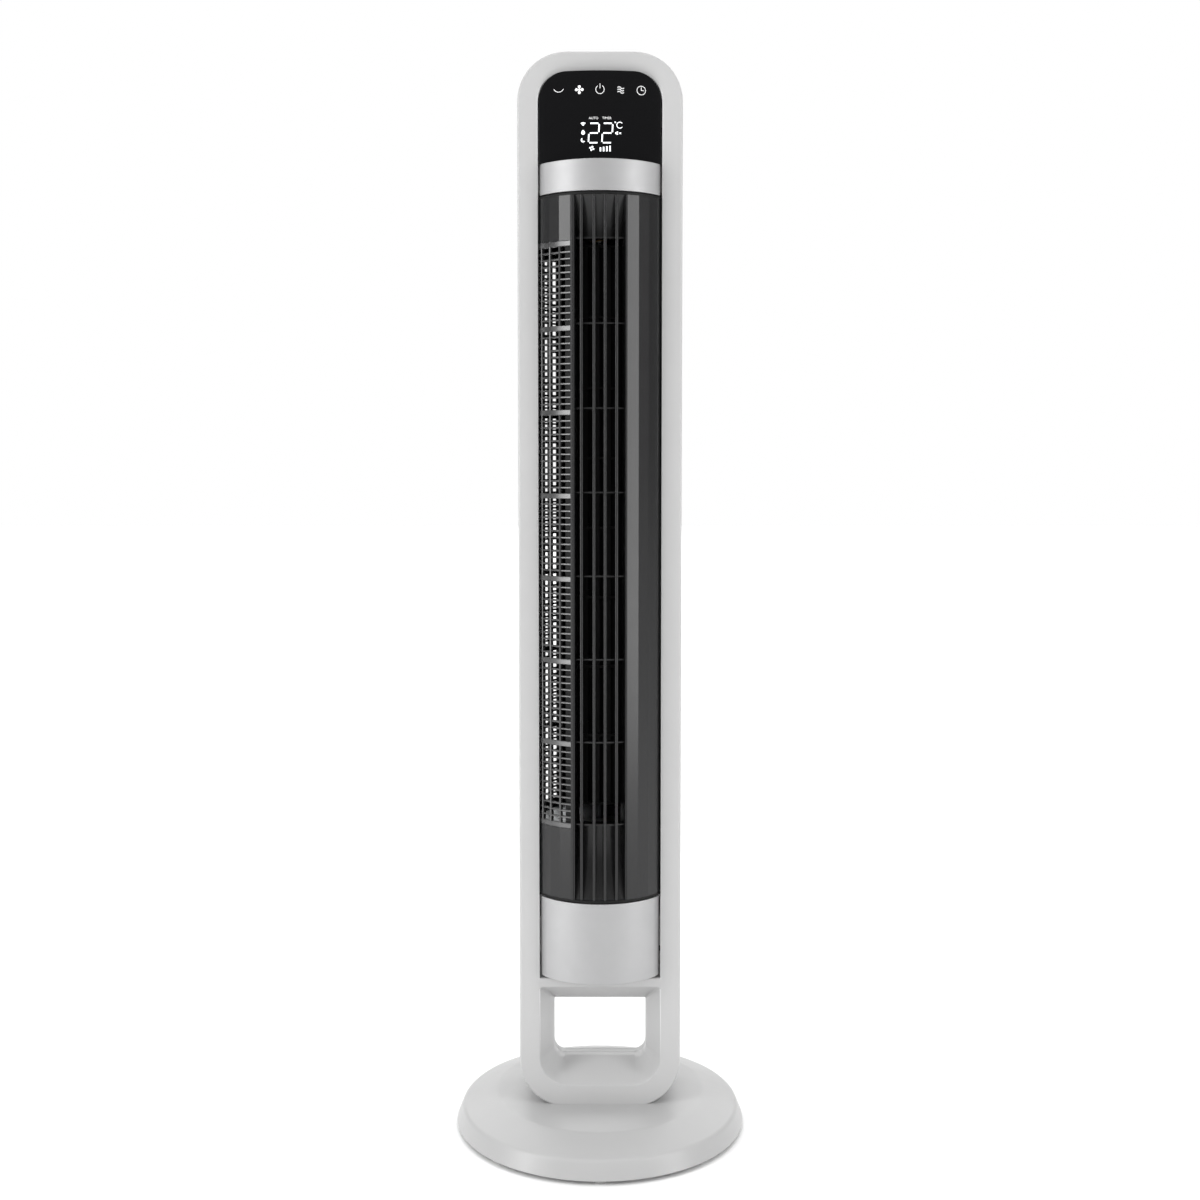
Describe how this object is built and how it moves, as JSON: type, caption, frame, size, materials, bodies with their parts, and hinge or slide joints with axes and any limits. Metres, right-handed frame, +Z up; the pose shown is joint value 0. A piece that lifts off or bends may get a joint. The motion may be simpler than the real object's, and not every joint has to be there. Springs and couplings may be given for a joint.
{
  "type": "tower fan",
  "caption": "Tall tower fan: a rounded upright frame on a round base, with a slotted drum that swings inside the frame and a cross-flow impeller spinning inside the drum.",
  "frame": {"origin": "centre of the round base on the floor, under the drum's axis", "axes": "+Z up along the drum's axis, -Y is the front that blows air, +X is the viewer's right"},
  "size_m": [0.278, 0.278, 1.016],
  "materials": {
    "frame_plastic": "satin white ABS, fine spark texture",
    "base_plastic": "satin white ABS",
    "cover_plastic": "pearl white, semi gloss",
    "panel_gloss": "black acrylic, glossy",
    "foot_rubber": "light grey soft rubber",
    "screw_steel": "zinc plated",
    "inner_plastic": "natural moulded plastic",
    "board_green": "solder mask",
    "led_white": "light guide of the read-out",
    "spring_steel": "plated spring",
    "motor_metal": "plated motor can",
    "wire_cover": "black sleeve",
    "gear_plastic": "acetal",
    "drum_plastic": "charcoal ABS, satin",
    "duct_plastic": "black moulded plastic",
    "plate_steel": "galvanised sheet",
    "shaft_steel": "ground steel",
    "bearing_bronze": "sintered bronze",
    "impeller_plastic": "glass filled plastic"
  },
  "bodies": {
    "stand": {"frame_front": "frame_plastic", "frame_rear": "frame_plastic", "frame_screws": "screw_steel", "base_cover": "base_plastic", "base_plate": "base_plastic", "rubber_feet": "foot_rubber", "base_screws": "screw_steel", "neck_tube": "inner_plastic", "lock_nut": "inner_plastic", "cord_gland": "foot_rubber", "lower_cover": "cover_plastic", "lower_rear_cover": "cover_plastic", "upper_band": "cover_plastic", "upper_rear_band": "cover_plastic", "display_panel": "panel_gloss", "head_rear_cover": "frame_plastic", "head_chassis": "inner_plastic", "upper_bush": "inner_plastic", "display_carrier": "inner_plastic", "control_board": "board_green", "led_display": "led_white", "touch_springs": "spring_steel", "drive_deck": "inner_plastic", "deck_screws": "screw_steel", "lower_bearing": "inner_plastic", "swing_motor": "motor_metal", "power_board": "board_green", "rail_wires": "wire_cover"},
    "drum": {"drum_gear": "gear_plastic", "drum_shell": "drum_plastic", "intake_grille": "drum_plastic", "outlet_grille": "drum_plastic", "drum_bottom_cap": "drum_plastic", "drum_top_cap": "drum_plastic", "scroll_wall": "duct_plastic", "air_tongue": "duct_plastic", "motor_plate": "plate_steel", "motor_housing": "motor_metal", "motor_stator": "motor_metal", "motor_mounts": "foot_rubber", "motor_screws": "screw_steel", "bearing_plate": "duct_plastic", "impeller_bearing": "bearing_bronze"},
    "pinion": {"drive_pinion": "gear_plastic"},
    "impeller": {"motor_rotor": "shaft_steel", "impeller_blades": "impeller_plastic", "impeller_end": "impeller_plastic", "end_shaft": "shaft_steel"}
  },
  "joints": [
    {"name": "drum_swing", "type": "hinge", "parent": "stand", "child": "drum", "pos_m": [0, 0, 0.559], "axis": [0, 0, 1], "range_deg": [-35, 35]},
    {"name": "pinion_spin", "type": "hinge", "parent": "stand", "child": "pinion", "pos_m": [0, 0.0375, 0.22], "axis": [0, 0, 1], "range_deg": [-141, 141]},
    {"name": "impeller_spin", "type": "hinge", "parent": "drum", "child": "impeller", "pos_m": [0, 0, 0.58], "axis": [0, 0, 1], "continuous": true}
  ],
  "couplings": [
    {"joint": "pinion_spin", "follows": "drum_swing", "ratio": -4}
  ]
}
